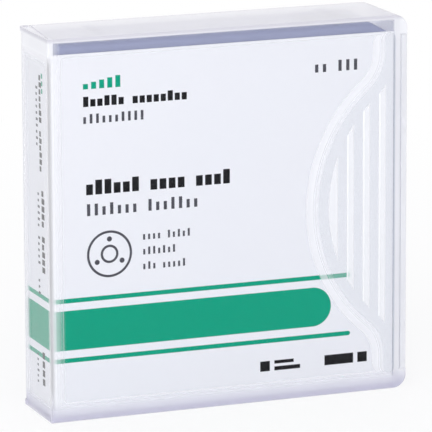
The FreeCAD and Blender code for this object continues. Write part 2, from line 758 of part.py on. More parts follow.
def pinSockets(name, wall, sign):
    """Round cup that the leader pin's head sits in, open towards the door."""
    rise = num("%s - %s" % (backWallInner, frontWallInner)) / 2 - num("leaderLength") / 2
    depth = rise + num("leaderHeadThick")
    start = num(wall)
    away = FreeCAD.Vector(0, sign, 0)
    foot, step = FreeCAD.Vector(num(leaderX), start, num(leaderZ)), away * rise
    room = num("leaderHead + socketSlack")
    outer = Part.makeCylinder(num("leaderHead + socketWall"), depth, foot, away)
    bore = Part.makeCylinder(room, depth, foot + step, away)
    corner = FreeCAD.Vector(-room, min(0, sign * depth), 0)
    mouth = Part.makeBox(2 * room, depth, num("socketMouth"), foot + step + corner)
    return shaped(name, outer.cut(bore).cut(mouth))


def doorRails(name, wall, sign):
    """Ledge that the door's edge slides on."""
    low = "(%s - doorSlack / 2 - doorRail)" % doorLow
    x0 = "(%s - doorTravel)" % doorLeft
    x1 = "(%s)" % doorRight
    a, b = (wall, "%s + doorRailReach" % wall) if sign > 0 else ("%s - doorRailReach" % wall, wall)
    return span(name, (x0, a, low), (x1, b, "%s + doorRail" % low))


def upperShell():
    tray, hollow = halfShell("upper", shellFront, True)
    bosses = [rod("upperBoss%d" % i, (x, frontWallInner, z), "bossRadius",
                  "%s - %s" % (shellMid, frontWallInner)) for i, (x, z) in enumerate(screwSpots)]
    wallRooms = sharedCuts("upper") + gripGrooves("upper", shellFront) + pickerNotches("upper")
    holes = [rod("upperHole%d" % i, (x, "%s + overcut" % frontWallInner, z), "screwRadius", "shellThick / 2")
             for i, (x, z) in enumerate(screwSpots)]
    hollowed = cut("upperHollowed", tray, [hollow] + wallRooms)
    post = box("keyPost", ("%s - keyPost" % reelX, frontWallInner, "%s - keyPost" % reelZ),
               ("2 * keyPost", brakePostLength, "2 * keyPost"))
    rails = doorRails("upperDoorRail", frontWallInner, 1)
    body = fuse("upperBody", [hollowed, post, rails, pinSockets("upperSocket", frontWallInner, 1)] + bosses)
    return node(cut("upperShell", body, holes), "upper_shell")


def lowerShell():
    tray, hollow = halfShell("lower", shellBack, False)
    bosses = [rod("lowerBoss%d" % i, (x, shellMid, z), "bossRadius",
                  "%s - %s" % (backWallInner, shellMid)) for i, (x, z) in enumerate(screwSpots)]
    wallRooms = sharedCuts("lower") + gripGrooves("lower", shellBack) + pickerNotches("lower")
    wallRooms += datumRecesses()
    hubHole = rod("hubOpening", (reelX, "%s - overcut" % backWallInner, reelZ), "openingRadius",
                  "shellWall + 2 * overcut")
    hollowed = cut("lowerHollowed", tray, [hollow, hubHole] + wallRooms)
    holes = []
    for i, (x, z) in enumerate(screwSpots):
        holes.append(rod("lowerHole%d" % i, (x, "%s - overcut" % shellMid, z), "screwRadius", "shellThick"))
        holes.append(rod("lowerSink%d" % i, (x, "%s - screwHeadThick" % shellBack, z),
                         "screwHead + screwSlack", "screwHeadThick + overcut"))
    lip = turned("hubLip", [("openingRadius", "0"), ("openingRadius + lipWall", "0"),
                            ("openingRadius + lipWall", "lipRise + shellWall / 2"),
                            ("openingRadius", "lipRise + shellWall / 2")],
                 reelX, "%s - lipRise" % backWallInner, reelZ)
    rails = doorRails("lowerDoorRail", backWallInner, -1)
    body = fuse("lowerBody", [hollowed, lip, rails, pinSockets("lowerSocket", backWallInner, -1)] + bosses)
    return node(cut("lowerShell", body, holes), "lower_shell")


def shellScrews():
    shank = "(shellThick / 2 - screwHeadThick + screwBite)"
    for i, (x, z) in enumerate(screwSpots, start=1):
        screw = turned("screw%d" % i,
                       [("0", "0"), ("screwRadius", "0"), ("screwRadius", shank),
                        ("screwHead", "%s + screwCone" % shank),
                        ("screwHead", "%s + screwHeadThick" % shank), ("0", "%s + screwHeadThick" % shank)],
                       x, "%s - screwHeadThick - %s" % (shellBack, shank), z)
        drive = rod("drive%d" % i, (x, "%s - driveDepth" % shellBack, z), "screwHead / 2",
                    "driveDepth + overcut")
        node(cut("screwCut%d" % i, screw, [drive]), "shell_screw_%d" % i)


# ---------------------------------------------------------------- reel and tape
tapeLow = "(%s - tapeWidth / 2)" % shellMid           # edge towards the upper shell
tapeHigh = "(%s + tapeWidth / 2)" % shellMid          # edge towards the lower shell
flangeLow = "(%s - tapeSlack)" % tapeLow
flangeHigh = "(%s + tapeSlack)" % tapeHigh
floorInner = "(%s - floorLift)" % tapeHigh
floorOuter = "(%s + floorThick)" % floorInner
brakeFoot = "(%s - ringRise - brakeTooth - toothGap)" % floorInner
brakeHead = "(%s - brakeThick)" % brakeFoot
brakePostLength = "(%s - %s)" % (brakeHead, frontWallInner)


def toothRing(inner, outer, height, level, direction, shift):
    """Wedge teeth in a ring about the Y axis. Each is about half a pitch wide at its foot and
    comes to a narrow flat; a shift of half a pitch puts it in the other ring's gaps."""
    count = int(round(num("toothCount")))
    pitch = 2 * math.pi / count
    root = -num("toothRoot")
    teeth = []
    for i in range(count):
        angle = (i + shift) * pitch
        ends = []
        for r in (num(inner), num(outer)):
            foot = pitch * r * num("toothFoot")
            tip = pitch * r * num("toothTip")
            spots = []
            for across, lift in ((-foot, root), (-foot, 0), (-tip, height), (tip, height),
                                 (foot, 0), (foot, root)):
                x = r * math.cos(angle) - across * math.sin(angle)
                z = r * math.sin(angle) + across * math.cos(angle)
                spots.append(FreeCAD.Vector(x, num(level) + direction * lift, z))
            ends.append(Part.makePolygon(spots + spots[:1]))
        teeth.append(Part.makeLoft(ends, True, True))
    return teeth


def footSpots():
    radius = (num("clutchInner") + num("clutchOuter")) / 2
    spots = []
    for i in range(3):
        angle = math.radians(90 + 120 * i)
        spots.append((radius * math.cos(angle), radius * math.sin(angle)))
    return spots


def reelHub():
    wall = "(hubRadius - hubWall)"
    top = "(%s - %s)" % (flangeLow, floorInner)
    # distances along Y are from the hub floor's inner face
    seat = "(%s - %s)" % (flangeHigh, floorInner)
    hub = turned("hubTurned",
                 [("0", "0"), ("brakeInner - ringMargin", "0"), ("brakeInner - ringMargin", "-ringRise"),
                  ("brakeOuter + ringMargin", "-ringRise"), ("brakeOuter + ringMargin", "0"), (wall, "0"),
                  (wall, top), ("hubRadius", top), ("hubRadius", seat), (flangeRadius, seat),
                  (flangeRadius, "%s + flangeThick" % seat), (wall, "%s + flangeThick" % seat),
                  (wall, "floorThick"), ("clutchOuter + ringMargin", "floorThick"),
                  ("clutchOuter + ringMargin", "floorThick + clutchRise"),
                  ("clutchInner - ringMargin", "floorThick + clutchRise"),
                  ("clutchInner - ringMargin", "floorThick"), ("0", "floorThick")],
                 reelX, floorInner, reelZ)
    clutch = toothRing("clutchInner", "clutchOuter", num("toothHeight"),
                       "%s + clutchRise" % floorOuter, 1, 0)
    brakeRing = toothRing("brakeInner", "brakeOuter", num("brakeTooth"),
                          "%s - ringRise" % floorInner, -1, 0)
    teeth = shaped("hubTeeth", Part.makeCompound(clutch + brakeRing), reelX, "0", reelZ)
    feet = []
    for i, (x, z) in enumerate(footSpots()):
        feet.append(rod("footHole%d" % i, ("%s + %.6f" % (reelX, x), "%s - ringRise - overcut" % floorInner,
                                           "%s + %.6f" % (reelZ, z)),
                        "footRadius + footSlack", "hubRadius / 2"))
    return node(cut("reelHub", fuse("toothedHub", [hub, teeth]), feet), "reel_hub")


def reelFlange():
    wall = "(hubRadius - hubWall)"
    flange = turned("reelUpperFlange",
                    [(wall, "0"), (flangeRadius, "0"), (flangeRadius, "flangeThick"),
                     (wall, "flangeThick")], reelX, "%s - flangeThick" % flangeLow, reelZ)
    return node(flange, "reel_upper_flange")


def tapePack():
    pack = turned("tapePack", [("hubRadius", "0"), (packRadius, "0"), (packRadius, "tapeWidth"),
                               ("hubRadius", "tapeWidth")], reelX, tapeLow, reelZ)
    return node(pack, "tape_pack")


def clutchPlate():
    plate = turned("clutchPlate", [("platesInner", "0"), ("platesOuter", "0"),
                                   ("platesOuter", "plateThick"), ("platesInner", "plateThick")],
                   reelX, floorOuter, reelZ)
    return node(plate, "clutch_plate")


def brakeButton():
    centre = "(%s - releaseRise - toothGap - %s)" % (floorInner, brakeHead)
    disc = turned("brakeDisc",
                  [("0", "0"), ("brakeOuter + brakeMargin", "0"), ("brakeOuter + brakeMargin", "brakeThick"),
                   ("brakeInner - ringMargin", "brakeThick"), ("brakeInner - ringMargin", "brakeWeb"),
                   ("socketRadius", "brakeWeb"),
                   ("socketRadius", centre), ("0", centre)],
                  reelX, brakeHead, reelZ)
    ring = toothRing("brakeInner", "brakeOuter", num("brakeTooth"), brakeFoot, 1, 0.5)
    teeth = shaped("brakeTeeth", Part.makeCompound(ring), reelX, "0", reelZ)
    neck = rod("brakeNeck", (reelX, "%s - brakeNeckRise" % brakeHead, reelZ), "socketRadius",
               "brakeNeckRise + weld")
    socket = box("keySocket", ("%s - keyPost - keySlack" % reelX, "%s - brakeNeckRise - overcut" % brakeHead,
                               "%s - keyPost - keySlack" % reelZ),
                 ("2 * keyPost + 2 * keySlack", "brakeNeckRise + overcut + brakeThick",
                  "2 * keyPost + 2 * keySlack"))
    return node(cut("brakeButton", fuse("brakeSolid", [disc, teeth, neck]), [socket]), "brake_button")


def coil(name, radius, wire, length, turnCount, along, start):
    """A round-wire helix whose axis runs from its start along X or Y."""
    helix = Part.makeHelix(length / turnCount, length, radius)
    section = Part.Circle(FreeCAD.Vector(radius, 0, 0), FreeCAD.Vector(0, 1, 0), wire).toShape()
    solid = Part.Wire(helix).makePipeShell([Part.Wire(section)], True, True)
    return shaped(name, solid, *start, along=along)


def brakeSpring():
    wire = num("springWire") / 2
    length = num("%s - %s" % (brakeHead, frontWallInner)) - 2 * wire
    start = (reelX, "%s + springWire / 2" % frontWallInner, reelZ)
    return node(coil("brakeSpring", num("springRadius"), wire, length, num("springTurns"), "y", start),
                "brake_spring")


def releasePlate():
    """Three-footed plate on the hub floor; its feet reach down between the clutch teeth."""
    disc = rod("releaseDisc", (reelX, "%s - releaseThick" % floorInner, reelZ), "releaseRadius",
               "releaseThick")
    dome = rod("releaseDome", (reelX, "%s - releaseRise" % floorInner, reelZ), "domeRadius", "releaseRise")
    legs = []
    for x, z in footSpots():
        radius = math.hypot(x, z)
        arm = Part.makeBox(radius, num("releaseThick"), 2 * num("footRadius"),
                           FreeCAD.Vector(0, -num("releaseThick"), -num("footRadius")))
        foot = Part.makeCylinder(num("footRadius"), num("releaseThick + floorThick + clutchRise + footProud"),
                                 FreeCAD.Vector(radius, -num("releaseThick"), 0), FreeCAD.Vector(0, 1, 0))
        leg = arm.fuse(foot)
        leg.rotate(FreeCAD.Vector(0, 0, 0), FreeCAD.Vector(0, 1, 0), -math.degrees(math.atan2(z, x)))
        legs.append(leg)
    feet = shaped("releaseLegs", legs[0].multiFuse(legs[1:]), reelX, floorInner, reelZ)
    return node(fuse("releasePlate", [disc, dome, feet]), "brake_release_plate")


# ---------------------------------------------------------------- door, leader pin, switch, chip
def slidingDoor():
    low = "(%s + 2 * doorSlack)" % frontWallInner
    high = "(%s - 2 * doorSlack)" % backWallInner
    plate = span("doorPlate", (doorLeft, low, doorLow), (doorRight, high, doorHigh))
    grooves = []
    for i in range(int(num("doorLines"))):
        x = "(%s - doorLineStart - %d * doorLinePitch)" % (doorRight, i)
        grooves.append(span("doorGroove%d" % i,
                            (x, "%s - doorLineHalf" % shellMid, "%s - doorLineDepth" % doorHigh),
                            ("%s + doorLineWidth" % x, "%s + doorLineHalf" % shellMid,
                             "%s + overcut" % doorHigh)))
    return node(cut("slidingDoor", plate, grooves), "sliding_door")


def doorSpring():
    wire = num("doorWire") / 2
    length = num("doorSpringLength") + num("doorTravel") - 2 * wire
    start = ("%s - doorSpringLength - doorTravel + doorWire / 2" % doorLeft, shellMid,
             "%s - doorSpring" % doorHigh)
    return node(coil("doorSpring", num("doorSpring") - wire, wire, length, num("doorTurns"), "x",
                     start), "door_spring")


def leaderPin():
    end, neck = "(leaderLength / 2)", "(leaderLength / 2 - leaderHeadThick)"
    pin = turned("leaderPin",
                 [("0", "-%s" % end), ("leaderHead", "-%s" % end), ("leaderHead", "-%s" % neck),
                  ("leaderRadius", "-%s" % neck), ("leaderRadius", neck), ("leaderHead", neck),
                  ("leaderHead", end), ("0", end)], leaderX, shellMid, leaderZ)
    return node(pin, "leader_pin")


def tapeStrip(name, grow):
    """Free length of tape, along the common tangent of the pack and the pin."""
    away = FreeCAD.Vector(num("%s - %s" % (leaderX, reelX)), 0, num("%s - %s" % (leaderZ, reelZ)))
    radius = num("%s + tapeClear" % packRadius)
    swing = math.acos((radius - num("leaderRadius + clipSlack")) / away.Length)
    angle = math.atan2(away.z, away.x) + swing
    normal = FreeCAD.Vector(math.cos(angle), 0, math.sin(angle))
    along = FreeCAD.Vector(math.sin(angle), 0, -math.cos(angle))
    start = normal * (radius - grow)
    run = along * (away.Length * math.sin(swing))
    rise = normal * (num("leaderTape") + 2 * grow)
    spots = [start, start + run, start + run + rise, start + rise, start]
    strip = Part.Face(Part.makePolygon(spots)).extrude(FreeCAD.Vector(0, num("tapeWidth") + 2 * grow, 0))
    return shaped(name, strip, reelX, "%s - %.6f" % (tapeLow, grow), reelZ)


def leaderClip():
    """C-shaped sleeve that grips the end of the tape on the pin."""
    outer = rod("clipOuter", (leaderX, tapeLow, leaderZ), "leaderRadius + clipThick + leaderTape",
                "tapeWidth")
    bore = rod("clipBore", (leaderX, "%s - overcut" % tapeLow, leaderZ), "leaderRadius + clipSlack",
               "tapeWidth + 2 * overcut")
    mouth = tapeStrip("clipMouth", num("clipSlack"))
    return node(cut("leaderClip", outer, [bore, mouth]), "leader_pin_clip")


def writeSwitch():
    base = box("switchBase", (switchX, "%s - switchWide / 2 - switchLap" % shellMid,
                              "%s - switchLap" % switchZ),
               ("switchBase", "switchWide + 2 * switchLap", "switchLength + 2 * switchLap"))
    knob = box("switchKnob", ("%s + switchSunk" % shellLeft, "%s - switchWide / 2" % shellMid, switchZ),
               ("shellWall - switchSunk + weld", "switchWide", "switchLength"))
    middle = "(%s + switchLength / 2)" % switchZ
    notch = span("switchNotch", ("%s - overcut" % shellLeft, "%s - switchWide" % shellMid,
                                 "%s - switchNotch / 2" % middle),
                 ("%s + switchNotchDepth" % shellLeft, "%s + switchWide" % shellMid,
                  "%s + switchNotch / 2" % middle))
    return node(cut("writeSwitch", fuse("switchSolid", [base, knob]), [notch]), "write_protect_switch")


def memoryChip():
    chip = box("memoryChip", ("%s - chipInset - chipSide" % shellRight,
                              "%s - chipThick" % backWallInner, "%s + chipLow" % shellLow),
               ("chipSide", "chipThick", "chipSide"))
    return node(chip, "memory_chip")


caseBase()
caseLid()
insertCard()
upperShell()
lowerShell()
shellScrews()
reelHub()
reelFlange()
tapePack()
clutchPlate()
brakeButton()
brakeSpring()
releasePlate()
slidingDoor()
doorSpring()
leaderPin()
leaderClip()
node(tapeStrip("leaderTape", 0), "leader_tape")
writeSwitch()
memoryChip()

# ---------------------------------------------------------------- check and write
doc.recompute()
for made in doc.Objects:
    if "Invalid" in made.State or "Error" in made.State:
        raise RuntimeError("%s did not build: %s" % (made.Name, made.State))
os.makedirs("parts", exist_ok=True)
for made in nodes:
    if made.Shape.isNull() or not made.Shape.isValid():
        raise RuntimeError("%s has no valid shape" % made.Label)
    made.Shape.exportStep("parts/%s.step" % made.Label)
    extent = made.Shape.BoundBox
    print("%-22s solids %d faces %4d volume %9.1f  x %.2f..%.2f  y %.2f..%.2f  z %.2f..%.2f" % (
        made.Label, len(made.Shape.Solids), len(made.Shape.Faces), made.Shape.Volume, extent.XMin,
        extent.XMax, extent.YMin, extent.YMax, extent.ZMin, extent.ZMax))
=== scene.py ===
import json
import math

import bmesh
import bpy
import numpy as np
from mathutils import Matrix, Vector


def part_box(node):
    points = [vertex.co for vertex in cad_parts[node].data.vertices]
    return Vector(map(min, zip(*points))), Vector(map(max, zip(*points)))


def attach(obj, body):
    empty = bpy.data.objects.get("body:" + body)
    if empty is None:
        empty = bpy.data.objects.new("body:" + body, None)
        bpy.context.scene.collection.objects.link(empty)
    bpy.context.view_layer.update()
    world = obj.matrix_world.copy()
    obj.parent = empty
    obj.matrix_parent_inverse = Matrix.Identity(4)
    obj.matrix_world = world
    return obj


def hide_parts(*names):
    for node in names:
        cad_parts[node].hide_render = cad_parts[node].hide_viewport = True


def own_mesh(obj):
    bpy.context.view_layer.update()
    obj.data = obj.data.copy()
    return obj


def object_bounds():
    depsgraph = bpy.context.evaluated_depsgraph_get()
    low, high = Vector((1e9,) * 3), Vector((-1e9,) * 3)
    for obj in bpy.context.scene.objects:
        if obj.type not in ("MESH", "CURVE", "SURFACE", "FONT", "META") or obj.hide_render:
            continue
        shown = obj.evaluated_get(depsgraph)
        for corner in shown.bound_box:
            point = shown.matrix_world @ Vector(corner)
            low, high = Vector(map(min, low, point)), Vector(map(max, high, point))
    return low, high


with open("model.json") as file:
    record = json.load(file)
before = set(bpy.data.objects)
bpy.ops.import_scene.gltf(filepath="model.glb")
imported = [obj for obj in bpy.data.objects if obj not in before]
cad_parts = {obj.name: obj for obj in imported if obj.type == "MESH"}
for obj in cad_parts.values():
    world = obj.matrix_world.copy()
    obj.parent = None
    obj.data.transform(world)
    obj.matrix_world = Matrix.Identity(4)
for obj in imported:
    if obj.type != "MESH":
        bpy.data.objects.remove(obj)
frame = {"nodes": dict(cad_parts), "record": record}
cadLow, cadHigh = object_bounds()
mm = 0.001
print("frame loaded")


# shader maths: a socket that can be added, multiplied and compared
class Signal:
    def __init__(self, tree, socket=None):
        self.tree, self.socket = tree, socket

    # any node: its settings go in first, then a value or a link for each socket
    def node(self, kind, settings=None, sockets=None, out=0):
        made = self.tree.nodes.new("ShaderNode" + kind)
        for name, value in (settings or {}).items():
            if name == "stops":
                self.setStops(made.color_ramp, value)
            else:
                setattr(made, name, value)
        for name, value in (sockets or {}).items():
            if isinstance(value, Signal):
                self.tree.links.new(value.socket, made.inputs[name])
            else:
                made.inputs[name].default_value = value
        return Signal(self.tree, made.outputs[out])

    def setStops(self, ramp, stops):
        while len(ramp.elements) < len(stops):
            ramp.elements.new(0.5)
        for element, (place, colour) in zip(ramp.elements, stops):
            element.position, element.color = place, colour

    def maths(self, operation, *values):
        return self.node("Math", {"operation": operation}, dict(enumerate(values)))

    def __add__(self, other):
        return self.maths("ADD", self, other)

    def __sub__(self, other):
        return self.maths("SUBTRACT", self, other)

    def __rsub__(self, other):
        return self.maths("SUBTRACT", other, self)

    def __mul__(self, other):
        return self.maths("MULTIPLY", self, other)

    def __truediv__(self, other):
        return self.maths("DIVIDE", self, other)

    def __gt__(self, other):
        return self.maths("GREATER_THAN", self, other)

    def __lt__(self, other):
        return self.maths("LESS_THAN", self, other)

    def __or__(self, other):
        return self.maths("MAXIMUM", self, other)

    def __and__(self, other):
        return self.maths("MINIMUM", self, other)

    def size(self):
        return self.maths("ABSOLUTE", self)

    def root(self):
        return self.maths("SQRT", self)

    def floor(self):
        return self.maths("FLOOR", self)

    def wrapped(self, step):
        return self.maths("PINGPONG", self, step)

    __radd__, __rmul__ = __add__, __mul__


# x, y and z of the object's own coordinates, in millimetres
def ownPlace(start):
    place = start.node("TexCoord", out=3)
    parts = [start.node("SeparateXYZ", {}, {0: place}, out) / mm for out in range(3)]
    return place, parts


def blend(mask, under, over):
    settings = {"data_type": "RGBA"}
    return mask.node("Mix", settings, {0: mask, 6: under, 7: over}, 2)


def noise(start, place, scale, detail=3.0):
    return start.node("TexNoise", {}, {"Vector": place, "Scale": scale, "Detail": detail})


def bump(height, strength, distance):
    return height.node("Bump", {}, {"Strength": strength, "Distance": distance, "Height": height})


# a material whose plain sockets are set straight on the shader
def finish(name, plain):
    made = bpy.data.materials.new(name)
    made.use_nodes = True
    shader = made.node_tree.nodes["Principled BSDF"]
    for socket, value in plain.items():
        shader.inputs[socket].default_value = value
    return made, shader, Signal(made.node_tree)


def feed(shader, socket, signal):
    signal.tree.links.new(signal.socket, shader.inputs[socket])


clearPlastic = {
    "name": "caseClear", "colour": (0.985, 0.985, 1.0, 1), "rough": 0.03, "roughSpread": 0.04,
    "gloss": (0.15, 0.15, 0.17, 1), "ior": 1.22, "speckScale": 900.0, "flowScale": 35.0, "flowDepth": 0.00004,
    "flowBump": 0.15, "speckFrom": 0.74, "speckRough": 0.03, "frostRough": 0.3,
    "milkLeast": 0.85, "milkSpread": 0.3,
    "windowColour": (0.97, 0.97, 0.98, 1), "windowShare": 0.9,
    # painted shade: the frost turns lavender-grey towards the foot and greyer towards the head, over the z
    # spans given next, in millimetres
    "paintedShadeFoot": (0.60, 0.59, 0.73, 1), "paintedShadeHead": (0.70, 0.69, 0.745, 1),
    "paintedShadeFootSpan": (6.0, 1.0), "paintedShadeHeadSpan": (108.6, 109.4),
    # where the wall looks milky: on which face, along which axis, from none to full, and the full share
    "zones": [
        {"face": "all", "axis": "z", "none": 1.6, "full": 1.2, "share": 0.5},
        {"face": "all", "axis": "z", "none": 108.5, "full": 108.9, "share": 0.72},
        {"face": "all", "axis": "x", "none": 52.4, "full": 52.7, "share": 0.7},
        {"face": "front", "axis": "z", "none": 5.4, "full": 3.6, "share": 0.72},
        {"face": "front", "axis": "x", "none": 49.8, "full": 50.4, "share": 0.74},
        {"face": "front", "axis": "x", "none": -49.8, "full": -54.0, "share": 0.6},
        {"face": "spine", "axis": "z", "none": 101.6, "full": 105.2, "share": 0.8},
        {"face": "spine", "axis": "z", "none": 5.0, "full": 3.4, "share": 0.5},
        {"face": "spine", "axis": "y", "none": -9.6, "full": -11.6, "share": 0.6},
        {"face": "spine", "axis": "y", "none": 7.0, "full": 9.6, "share": 0.62},
    ],
    # share of milk by how far the front stands proud: panel, its slope, border, pad slope, pad, rib flank,
    # rib crest
    "relief": [(0.0, 0.0), (0.06, 0.5), (0.34, 0.6), (0.39, 0.1), (0.402, 0.06), (0.405, 0.8), (0.412, 0.8),
               (0.422, 0.34), (0.6, 0.3), (0.645, 0.26), (0.655, 0.26), (0.68, 0.95),
               (0.96, 0.95), (0.985, 0.5)],
    # and its colour: plain milk, with painted shade greyer on the pad and a painted highlight brighter on the
    # rib crests
    "reliefPaintedShade": [(0.0, (0.94, 0.945, 0.97, 1)), (0.55, (0.94, 0.945, 0.97, 1)),
                   (0.64, (0.70, 0.73, 0.77, 1)),
                   (0.66, (0.70, 0.73, 0.77, 1)), (0.69, (0.98, 0.985, 1.0, 1))],
    "panelY": -11.75, "crestY": -12.75, "frontDeep": 1.6, "spineDeep": 1.6, "thinShare": 0.45,
}


# 0 up to `none`, 1 past `full`, in a straight line between; it may fall as well as rise
def ramp(value, none, full):
    return value.node("Clamp", {}, {0: (value - none) / (full - none)})


# clear moulded styrene. It goes milky where it is seen end-on: in the walls round the edge and on the relief.
# Light on its way to the pieces inside passes mostly straight through, and the front wall is part thin sheet,
# so that they are lit and seen as through a window.
def makeClear(look):
    plain = {"Base Color": look["colour"], "Transmission Weight": 1.0, "IOR": look["ior"],
             "Specular Tint": look["gloss"]}
    made, shader, start = finish(look["name"], plain)
    place, (x, y, z) = ownPlace(start)
    haze = noise(start, place, look["flowScale"])
    specks = noise(start, place, look["speckScale"])
    specked = (specks > look["speckFrom"]) * look["speckRough"]
    feed(shader, "Roughness", look["rough"] + haze * look["roughSpread"] + specked)
    feed(shader, "Normal", bump(haze, look["flowBump"], look["flowDepth"]))
    low = cadLow / mm
    faces = {"all": 1.0, "front": y < low.y + look["frontDeep"], "spine": x < low.x + look["spineDeep"]}
    axes = {"x": x, "y": y, "z": z}
    milky = gather([ramp(axes[zone["axis"]], zone["none"], zone["full"]) * zone["share"] * faces[zone["face"]]
                    for zone in look["zones"]])
    proud = (look["panelY"] - y) / (look["panelY"] - look["crestY"])
    stops = [(at, (share, share, share, 1)) for at, share in look["relief"]]
    milky = milky | proud.node("ValToRGB", {"stops": stops}, {0: proud})
    # painted shade on the pad and painted highlight on the rib crests, by how far the front stands proud
    shade = proud.node("ValToRGB", {"stops": look["reliefPaintedShade"]}, {0: proud})
    # painted shade: the frost's colour goes lavender-grey near the foot and greyer near the head
    tone = blend(ramp(z, *look["paintedShadeFootSpan"]), shade, look["paintedShadeFoot"])
    tone = blend(ramp(z, *look["paintedShadeHeadSpan"]), tone, look["paintedShadeHead"])
    frost = start.node("BsdfPrincipled", {}, {"Base Color": tone, "Roughness": look["frostRough"]})
    cloudy = milky * (haze * look["milkSpread"] + look["milkLeast"])
    rays = [start.node("LightPath", {}, {}, out) for out in ("Is Shadow Ray", "Is Diffuse Ray")]
    clear = Signal(start.tree, shader.outputs[0])
    window = start.node("BsdfTransparent", {}, {"Color": look["windowColour"]})
    thin = start.node("MixShader", {}, {0: faces["front"] * look["thinShare"], 1: clear, 2: window})
    solid = start.node("MixShader", {}, {0: cloudy, 1: thin, 2: frost})
    whole = start.node("MixShader", {}, {0: (rays[0] | rays[1]) * look["windowShare"], 1: solid, 2: window})
    start.tree.links.new(whole.socket, start.tree.nodes["Material Output"].inputs[0])
    return made


mouldedPlastic = {
    "shellBlue": {"colour": (0.275, 0.305, 0.475, 1),
                  "dark": (0.235, 0.262, 0.42, 1), "rough": 0.5, "grain": 2600.0},
    "reelGrey": {"colour": (0.62, 0.64, 0.68, 1),
                 "dark": (0.54, 0.56, 0.61, 1), "rough": 0.38, "grain": 1500.0},
    "hubWhite": {"colour": (0.78, 0.79, 0.80, 1),
                 "dark": (0.70, 0.71, 0.73, 1), "rough": 0.36, "grain": 1500.0},
    "brakeDark": {"colour": (0.10, 0.10, 0.12, 1),
                  "dark": (0.07, 0.07, 0.085, 1), "rough": 0.42, "grain": 1800.0},
    "plateAmber": {"colour": (0.72, 0.66, 0.50, 1),
                   "dark": (0.63, 0.56, 0.41, 1), "rough": 0.34, "grain": 1500.0},
    "doorBlue": {"colour": (0.19, 0.21, 0.34, 1),
                 "dark": (0.15, 0.17, 0.28, 1), "rough": 0.4, "grain": 2200.0},
    "switchRed": {"colour": (0.55, 0.05, 0.045, 1),
                  "dark": (0.42, 0.035, 0.035, 1), "rough": 0.4, "grain": 2000.0},
}


# spark-grained moulding: small pits in the normal, cloudy tone, gloss that follows the grain
def makeMoulded(name, look):
    made, shader, start = finish(name, {"IOR": 1.5})
    place, _ = ownPlace(start)
    grain = noise(start, place, look["grain"], 2.0)
    cloud = noise(start, place, 60.0)
    feed(shader, "Base Color", blend(cloud * 0.7 + grain * 0.3, look["dark"], look["colour"]))
    feed(shader, "Roughness", look["rough"] + (grain - 0.5) * 0.25)
    feed(shader, "Normal", bump(grain, 0.35, 0.00006))
    return made


metals = {
    "pinSteel": {"colour": (0.66, 0.67, 0.69, 1), "rough": 0.22, "stretch": (40.0, 4000.0, 40.0)},
    "plateSteel": {"colour": (0.56, 0.57, 0.59, 1), "rough": 0.3, "stretch": (900.0, 900.0, 900.0)},
    "screwSteel": {"colour": (0.40, 0.41, 0.43, 1), "rough": 0.32, "stretch": (1500.0, 200.0, 1500.0)},
    "springSteel": {"colour": (0.60, 0.60, 0.60, 1), "rough": 0.25, "stretch": (2000.0, 2000.0, 2000.0)},
}


# turned or ground metal: noise drawn out along the tool's path, in tone, gloss and normal
def makeMetal(name, look):
    made, shader, start = finish(name, {"Metallic": 1.0})
    place, _ = ownPlace(start)
    drawn = start.node("VectorMath", {"operation": "MULTIPLY"}, {0: place, 1: look["stretch"]})
    marks = noise(start, drawn, 1.0)
    worn = tuple(0.8 * c for c in look["colour"][:3]) + (1,)
    feed(shader, "Base Color", blend(marks, worn, look["colour"]))
    feed(shader, "Roughness", look["rough"] + marks * 0.15)
    feed(shader, "Normal", bump(marks, 0.2, 0.00003))
    return made


# masks on a flat pattern, s across and z up, in millimetres
# 1 inside and 0 outside, with an edge about 0.1 mm soft
def soften(depth):
    return depth.node("Clamp", {}, {0: depth / 0.1 + 0.5})


# a bar with rounded ends: distance from its middle line, taken from half its height
def capsule(s, z, left, low, width, height):
    half = height / 2
    across = ((s - (left + width / 2)).size() - (width / 2 - half)) | 0.0
    up = z - (low + half)
    return soften(half - (across * across + up * up).root())


def block(s, z, left, low, width, height):
    across = (s - (left + width / 2)).size() - width / 2
    up = (z - (low + height / 2)).size() - height / 2
    return soften(0.0 - (across | up))


# a ring: how far a point is from the circle of that radius, within half the line width
def ring(s, z, centre, radius, line):
    across, up = s - centre[0], z - centre[1]
    far = (across * across + up * up).root()
    return soften(line / 2 - (far - radius).size())


def gather(masks):
    total = masks[0]
    for mask in masks[1:]:
        total = total | mask
    return total


card = {
    "name": "foldedCard", "thick": 0.25, "foldRadius": 0.4, "foldSteps": 10, "frontSteps": 90,
    "spineSteps": 24, "rows": 80, "bow": 0.09, "inset": 0.04,
}


